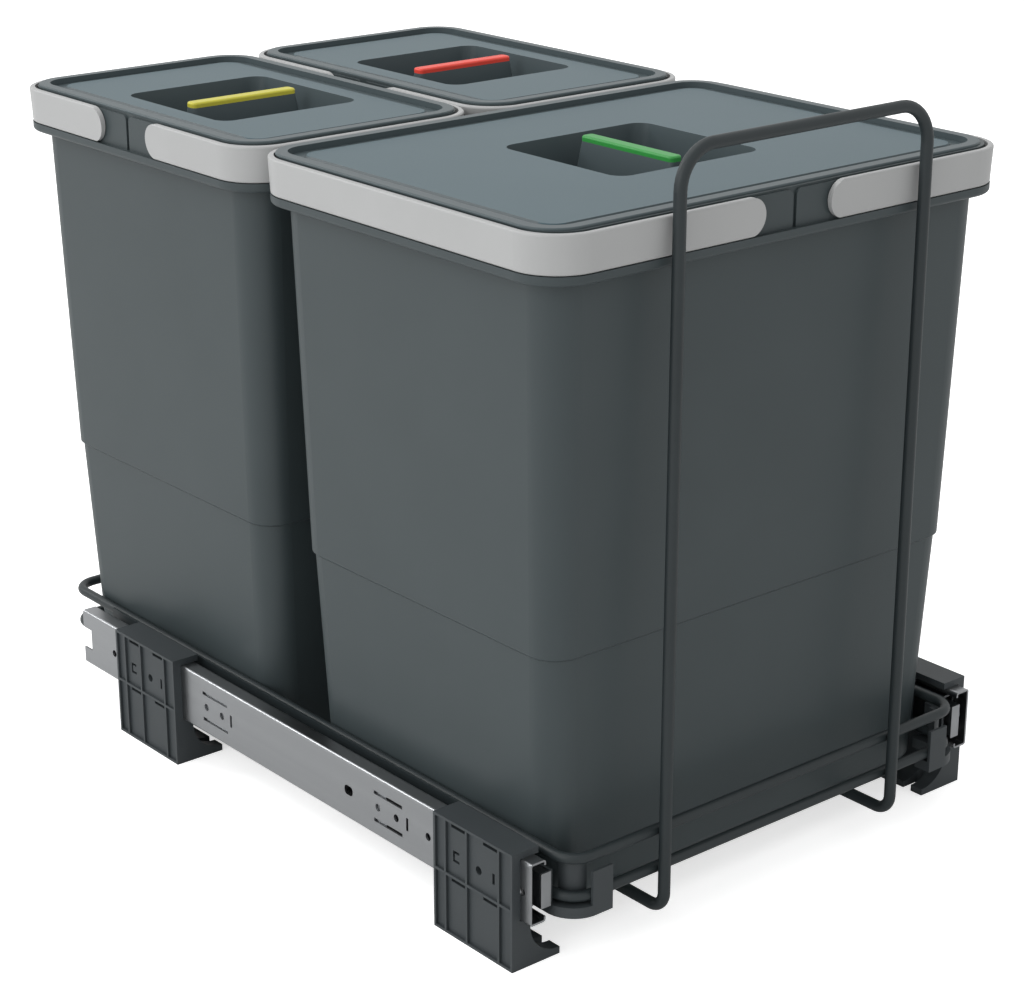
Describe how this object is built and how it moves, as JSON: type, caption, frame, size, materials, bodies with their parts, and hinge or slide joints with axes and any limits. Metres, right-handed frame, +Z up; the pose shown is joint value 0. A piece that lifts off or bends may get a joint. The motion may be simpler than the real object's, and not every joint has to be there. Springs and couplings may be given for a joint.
{
  "type": "pull-out waste bin frame",
  "caption": "Pull-out waste bin unit for a base cabinet: wire basket with a handle hoop on ball-bearing slides in plastic brackets, with lidded bins that have swing-up carrying bails.",
  "frame": {"origin": "middle of the unit's footprint, on the cabinet floor", "axes": "+Z up, -Y the way the basket pulls out of the cabinet, +X to the right seen from the front"},
  "size_m": [0.364, 0.5283, 0.447],
  "materials": {
    "bin_plastic": "fine moulded texture, satin",
    "lid_plastic": "satin moulded",
    "bail_plastic": "satin moulded",
    "bracket_plastic": "satin moulded",
    "stop_plastic": "satin moulded",
    "green_grip": "satin moulded",
    "yellow_grip": "satin moulded",
    "red_grip": "satin moulded",
    "galvanised_steel": "bright zinc plated",
    "ball_steel": "polished",
    "coated_steel": "satin powder coat"
  },
  "bodies": {
    "cabinet_fixings": {"front_left_bracket": "bracket_plastic", "front_right_bracket": "bracket_plastic", "rear_left_bracket": "bracket_plastic", "rear_right_bracket": "bracket_plastic", "left_outer_rail": "galvanised_steel", "right_outer_rail": "galvanised_steel", "rail_rivets": "galvanised_steel"},
    "left_middle_slide": {"left_middle_rail": "galvanised_steel"},
    "left_outer_bearing": {"left_outer_cage": "galvanised_steel", "left_outer_balls": "ball_steel"},
    "left_inner_bearing": {"left_inner_cage": "galvanised_steel", "left_inner_balls": "ball_steel"},
    "right_middle_slide": {"right_middle_rail": "galvanised_steel"},
    "right_outer_bearing": {"right_outer_cage": "galvanised_steel", "right_outer_balls": "ball_steel"},
    "right_inner_bearing": {"right_inner_cage": "galvanised_steel", "right_inner_balls": "ball_steel"},
    "basket": {"upper_ring": "coated_steel", "lower_ring": "coated_steel", "handle": "coated_steel", "support_wires": "coated_steel", "left_side_plate": "coated_steel", "right_side_plate": "coated_steel", "plate_rivets": "galvanised_steel", "left_corner_clip": "bracket_plastic", "right_corner_clip": "bracket_plastic", "left_inner_rail": "galvanised_steel", "right_inner_rail": "galvanised_steel", "left_end_stop": "stop_plastic", "right_end_stop": "stop_plastic"},
    "front_bin_shell": {"front_bin": "bin_plastic"},
    "front_bin_cover": {"front_lid": "lid_plastic", "front_grip_strip": "green_grip"},
    "front_left_carrier": {"front_bin_left_bail": "bail_plastic"},
    "front_right_carrier": {"front_bin_right_bail": "bail_plastic"},
    "rear_left_bin_shell": {"rear_left_bin": "bin_plastic"},
    "rear_left_bin_cover": {"rear_left_lid": "lid_plastic", "rear_left_grip_strip": "yellow_grip"},
    "rear_left_front_carrier": {"rear_left_bin_front_bail": "bail_plastic"},
    "rear_left_back_carrier": {"rear_left_bin_back_bail": "bail_plastic"},
    "rear_right_bin_shell": {"rear_right_bin": "bin_plastic"},
    "rear_right_bin_cover": {"rear_right_lid": "lid_plastic", "rear_right_grip_strip": "red_grip"},
    "rear_right_front_carrier": {"rear_right_bin_front_bail": "bail_plastic"},
    "rear_right_back_carrier": {"rear_right_bin_back_bail": "bail_plastic"}
  },
  "joints": [
    {"name": "basket_slide", "type": "slide", "parent": "cabinet_fixings", "child": "basket", "axis": [0, -1, 0], "range_m": [0, 0.43]},
    {"name": "left_middle_slide_travel", "type": "slide", "parent": "cabinet_fixings", "child": "left_middle_slide", "axis": [0, -1, 0], "range_m": [0, 0.215]},
    {"name": "left_outer_bearing_travel", "type": "slide", "parent": "cabinet_fixings", "child": "left_outer_bearing", "axis": [0, -1, 0], "range_m": [0, 0.1075]},
    {"name": "left_inner_bearing_travel", "type": "slide", "parent": "cabinet_fixings", "child": "left_inner_bearing", "axis": [0, -1, 0], "range_m": [0, 0.3225]},
    {"name": "right_middle_slide_travel", "type": "slide", "parent": "cabinet_fixings", "child": "right_middle_slide", "axis": [0, -1, 0], "range_m": [0, 0.215]},
    {"name": "right_outer_bearing_travel", "type": "slide", "parent": "cabinet_fixings", "child": "right_outer_bearing", "axis": [0, -1, 0], "range_m": [0, 0.1075]},
    {"name": "right_inner_bearing_travel", "type": "slide", "parent": "cabinet_fixings", "child": "right_inner_bearing", "axis": [0, -1, 0], "range_m": [0, 0.3225]},
    {"name": "front_bin_lift", "type": "slide", "parent": "basket", "child": "front_bin_shell", "axis": [0, 0, 1], "range_m": [0, 0.42]},
    {"name": "front_lid_lift", "type": "slide", "parent": "front_bin_shell", "child": "front_bin_cover", "axis": [0, 0, 1], "range_m": [0, 0.06]},
    {"name": "front_left_bail_swing", "type": "hinge", "parent": "front_bin_shell", "child": "front_left_carrier", "pos_m": [-0.0352, -0.1264, 0.3979], "axis": [0, 1, 0], "range_deg": [0, 90]},
    {"name": "front_right_bail_swing", "type": "hinge", "parent": "front_bin_shell", "child": "front_right_carrier", "pos_m": [0.0352, -0.1264, 0.3979], "axis": [0, -1, 0], "range_deg": [0, 90]},
    {"name": "rear_left_bin_lift", "type": "slide", "parent": "basket", "child": "rear_left_bin_shell", "axis": [0, 0, 1], "range_m": [0, 0.42]},
    {"name": "rear_left_lid_lift", "type": "slide", "parent": "rear_left_bin_shell", "child": "rear_left_bin_cover", "axis": [0, 0, 1], "range_m": [0, 0.06]},
    {"name": "rear_left_front_bail_swing", "type": "hinge", "parent": "rear_left_bin_shell", "child": "rear_left_front_carrier", "pos_m": [-0.08682, 0.0998, 0.3979], "axis": [-1, 0, 0], "range_deg": [0, 90]},
    {"name": "rear_left_back_bail_swing", "type": "hinge", "parent": "rear_left_bin_shell", "child": "rear_left_back_carrier", "pos_m": [-0.08682, 0.1702, 0.3979], "axis": [1, 0, 0], "range_deg": [0, 90]},
    {"name": "rear_right_bin_lift", "type": "slide", "parent": "basket", "child": "rear_right_bin_shell", "axis": [0, 0, 1], "range_m": [0, 0.42]},
    {"name": "rear_right_lid_lift", "type": "slide", "parent": "rear_right_bin_shell", "child": "rear_right_bin_cover", "axis": [0, 0, 1], "range_m": [0, 0.06]},
    {"name": "rear_right_front_bail_swing", "type": "hinge", "parent": "rear_right_bin_shell", "child": "rear_right_front_carrier", "pos_m": [0.08682, 0.0998, 0.3979], "axis": [-1, 0, 0], "range_deg": [0, 90]},
    {"name": "rear_right_back_bail_swing", "type": "hinge", "parent": "rear_right_bin_shell", "child": "rear_right_back_carrier", "pos_m": [0.08682, 0.1702, 0.3979], "axis": [1, 0, 0], "range_deg": [0, 90]}
  ],
  "couplings": [
    {"joint": "left_middle_slide_travel", "follows": "basket_slide", "ratio": 0.5},
    {"joint": "left_outer_bearing_travel", "follows": "basket_slide", "ratio": 0.25},
    {"joint": "left_inner_bearing_travel", "follows": "basket_slide", "ratio": 0.75},
    {"joint": "right_middle_slide_travel", "follows": "basket_slide", "ratio": 0.5},
    {"joint": "right_outer_bearing_travel", "follows": "basket_slide", "ratio": 0.25},
    {"joint": "right_inner_bearing_travel", "follows": "basket_slide", "ratio": 0.75}
  ]
}
